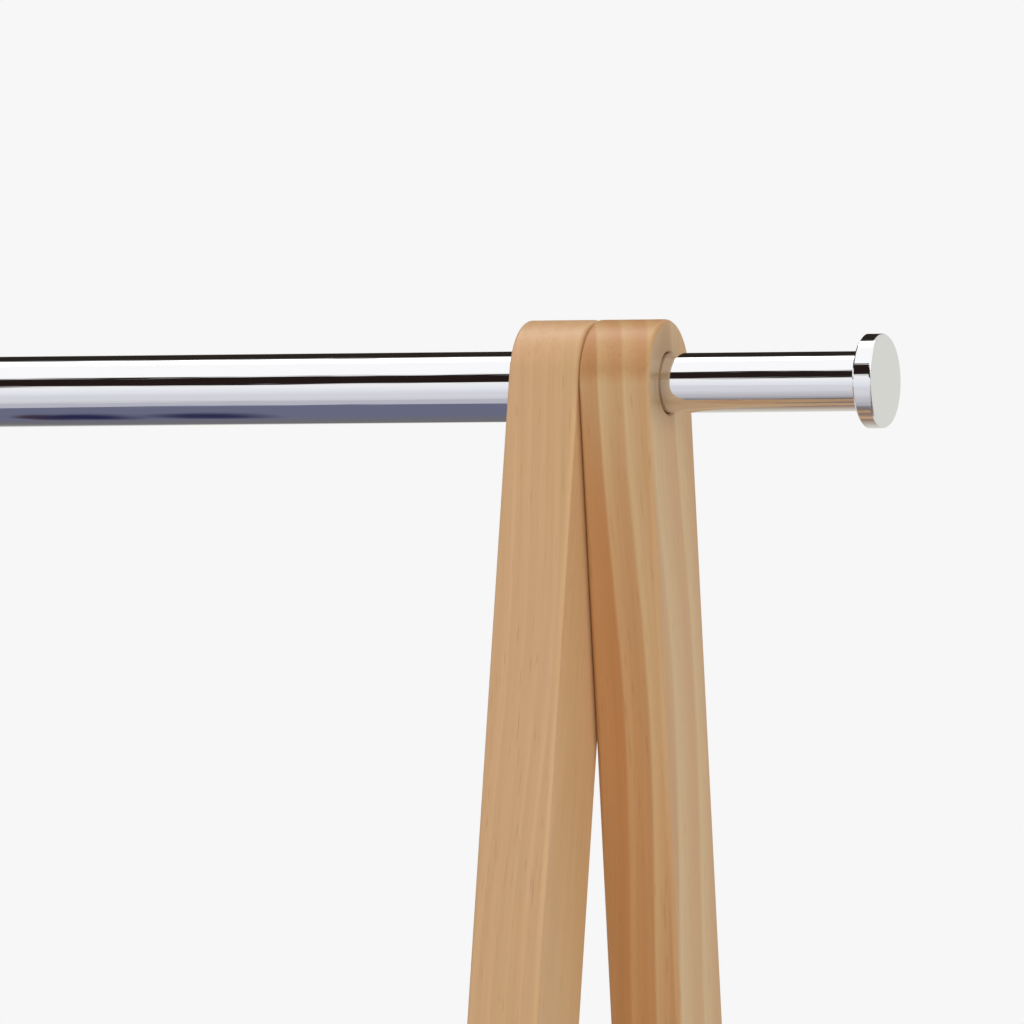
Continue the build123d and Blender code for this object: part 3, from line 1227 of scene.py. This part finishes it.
def hang_light(name, place, target, size, power):
    """A large soft light that points at a target and is out of the camera's sight."""
    lamp = bpy.data.lights.new(name, "AREA")
    lamp.shape = "RECTANGLE"
    lamp.size, lamp.size_y = size
    lamp.energy = power
    light = bpy.data.objects.new(name, lamp)
    bpy.context.scene.collection.objects.link(light)
    light.location = place
    light.rotation_euler = (Vector(target) - Vector(place)).to_track_quat("-Z", "Y").to_euler()
    light.visible_camera = False
    return light


key = hang_light(
    "front_softbox", place=(0.9, -3.4, 3.6), target=(0, 0, 1.1), size=(2.0, 2.0), power=82
)
side = hang_light(
    "side_softbox", place=(4.4, 0.25, 1.42), target=(0, 0, 1.5), size=(0.6, 0.6), power=33
)
hang_light(
    "overhead_softbox", place=(-0.5, 0.45, 4.2), target=(-0.5, 0.45, 0), size=(3.0, 0.9), power=22
)
key.visible_glossy = False
side.visible_glossy = False

# Painted reflection card: a dull blue-grey plane under the rail that glows, though it is no lamp,
# and is seen only from above and only in the chrome. Its tones, with dark patches and a pale band at
# its front, are painted reflection: the dark underside of the sleeve.
# Its right end is cut on the slant of the photograph's view, so that the stub stays clear of it.
view_yaw = math.radians(19.92)
card_drop = 0.5
card_left, card_right = -0.5, 0.35
left_fade = 0.5
sleeve_end, stub_start = 0.431, 0.511
card_front, card_back = -0.6, 2.0
front_fade = 0.1
# A pale band painted along the card's front: painted reflection in the chrome.
pale_band_back = -0.36
pale_band_fade = 0.06
pale_band_tone = "#B7B8C2"
# Painted reflection: blue-grey towards the front of the card, grey further back.
blue_until, grey_from = 0.1, 0.4
blue_tone, grey_tone = "#696B82", "#6E6D72"
card = start(
    bpy.ops.mesh.primitive_plane_add,
    "painted_reflection_card",
    size=1,
    location=(
        (card_left + card_right) / 2,
        (card_front + card_back) / 2,
        rail_axis.z - card_drop,
    ),
    stretch=(card_right - card_left, card_back - card_front, 1),
)
painted_reflection, tree, surface = new_material("painted_reflection_card")
place = add_node(tree, "ShaderNodeTexCoord").outputs["Object"]
split = add_node(tree, "ShaderNodeSeparateXYZ", inputs={0: place})
behind = split.outputs["Y"]
below_rail = add_node(
    tree,
    "ShaderNodeMapping",
    inputs={"Vector": place, "Location": (0, 0, -rail_axis.z), "Scale": (0, 1, 1)},
)
from_rail = add_node(
    tree, "ShaderNodeVectorMath", {"operation": "LENGTH"}, {0: below_rail.outputs[0]}
)
mirrored_at = add_node(
    tree,
    "ShaderNodeMath",
    {"operation": "MULTIPLY_ADD"},
    {0: from_rail.outputs["Value"], 1: math.tan(view_yaw), 2: split.outputs["X"]},
)
greyness = add_node(
    tree,
    "ShaderNodeMapRange",
    inputs={"Value": behind, "From Min": blue_until, "From Max": grey_from},
)
card_tone = add_node(
    tree,
    "ShaderNodeMix",
    {"data_type": "RGBA"},
    {0: greyness.outputs[0], 6: linear(blue_tone), 7: linear(grey_tone)},
).outputs[2]
# Dark patches painted on the card: painted reflections that darken the sleeve's underside in spots.
patch_middle, patch_reach = 0.07, 0.17
patch_core = 0.6
painted_dark_patches = ((0.034, 0.013, "#4A3A40"), (0.055, 0.032, "#2A284A"), (0.114, 0.036, "#30304E"))
for patch_place, patch_length, patch_tone in painted_dark_patches:
    spot = add_node(
        tree,
        "ShaderNodeMapping",
        {"vector_type": "TEXTURE"},
        {
            "Vector": place,
            "Location": (patch_place, patch_middle, rail_axis.z - card_drop),
            "Scale": (patch_length, patch_reach, 1),
        },
    )
    shape = add_node(
        tree, "ShaderNodeTexGradient", {"gradient_type": "SPHERICAL"}, {0: spot.outputs[0]}
    )
    depth = add_node(
        tree,
        "ShaderNodeMapRange",
        inputs={"Value": shape.outputs[1], "From Min": 0.0, "From Max": patch_core},
    )
    card_tone = add_node(
        tree,
        "ShaderNodeMix",
        {"data_type": "RGBA"},
        {0: depth.outputs[0], 6: card_tone, 7: linear(patch_tone)},
    ).outputs[2]
past_pale_band = add_node(
    tree,
    "ShaderNodeMapRange",
    {"interpolation_type": "SMOOTHSTEP"},
    {"Value": behind, "From Min": pale_band_back, "From Max": pale_band_back + pale_band_fade},
)
pale_banded = add_node(
    tree,
    "ShaderNodeMix",
    {"data_type": "RGBA"},
    {0: past_pale_band.outputs[0], 6: linear(pale_band_tone), 7: card_tone},
)
# The card glows at the room's level though it is no lamp: painted reflection in the chrome.
glowing_card = add_node(
    tree, "ShaderNodeEmission", inputs={"Color": pale_banded.outputs[2], "Strength": room_level}
)
no_card = add_node(tree, "ShaderNodeBsdfTransparent")
from_below = add_node(tree, "ShaderNodeNewGeometry").outputs["Backfacing"]
card_share = add_node(
    tree, "ShaderNodeMath", {"operation": "SUBTRACT"}, {0: 1.0, 1: from_below}
).outputs[0]
for place_on_card, bare, covered in (
    (behind, card_front, card_front + front_fade),
    (split.outputs["X"], card_left, card_left + left_fade),
    (mirrored_at.outputs[0], stub_start, sleeve_end),
):
    edge_share = add_node(
        tree,
        "ShaderNodeMapRange",
        {"interpolation_type": "SMOOTHSTEP"},
        {"Value": place_on_card, "From Min": bare, "From Max": covered},
    )
    card_share = add_node(
        tree,
        "ShaderNodeMath",
        {"operation": "MULTIPLY"},
        {0: card_share, 1: edge_share.outputs[0]},
    ).outputs[0]
soft_card = add_node(
    tree,
    "ShaderNodeMixShader",
    inputs={0: card_share, 1: no_card.outputs[0], 2: glowing_card.outputs[0]},
)
tree.links.new(soft_card.outputs[0], surface)
card.data.materials.append(painted_reflection)
card.visible_camera = False
card.visible_diffuse = False
card.visible_shadow = False
card.visible_transmission = False

# Camera: the photograph's long view of the rack's right end, from the front right and a
# little below the rail.
image_side = 1024
photo_scale = 2366  # pixels per metre at the rail
view_distance = 14.0
view_lift = math.radians(2.41)
view_roll = math.radians(0.378)
outer_face = Vector((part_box("rear_leg_right")[1].x, 0, rail_axis.z))
outer_face_pixel = (669.6, 383.0)
turned = (
    Matrix.Rotation(view_yaw, 4, "Z")
    @ Matrix.Rotation(math.pi / 2 + view_lift, 4, "X")
    @ Matrix.Rotation(view_roll, 4, "Z")
)
right, up, back = (turned.col[i].xyz for i in range(3))
aim = (
    outer_face
    - right * (outer_face_pixel[0] - image_side / 2) / photo_scale
    - up * (image_side / 2 - outer_face_pixel[1]) / photo_scale
)
lens = bpy.data.cameras.new("camera")
lens.sensor_width = 36
lens.lens = lens.sensor_width * photo_scale * view_distance / image_side
lens.clip_end = 100
camera = bpy.data.objects.new("camera", lens)
bpy.context.scene.collection.objects.link(camera)
camera.matrix_world = Matrix.Translation(aim + back * view_distance) @ turned
bpy.context.scene.camera = camera
bpy.context.scene.view_settings.view_transform = "Standard"
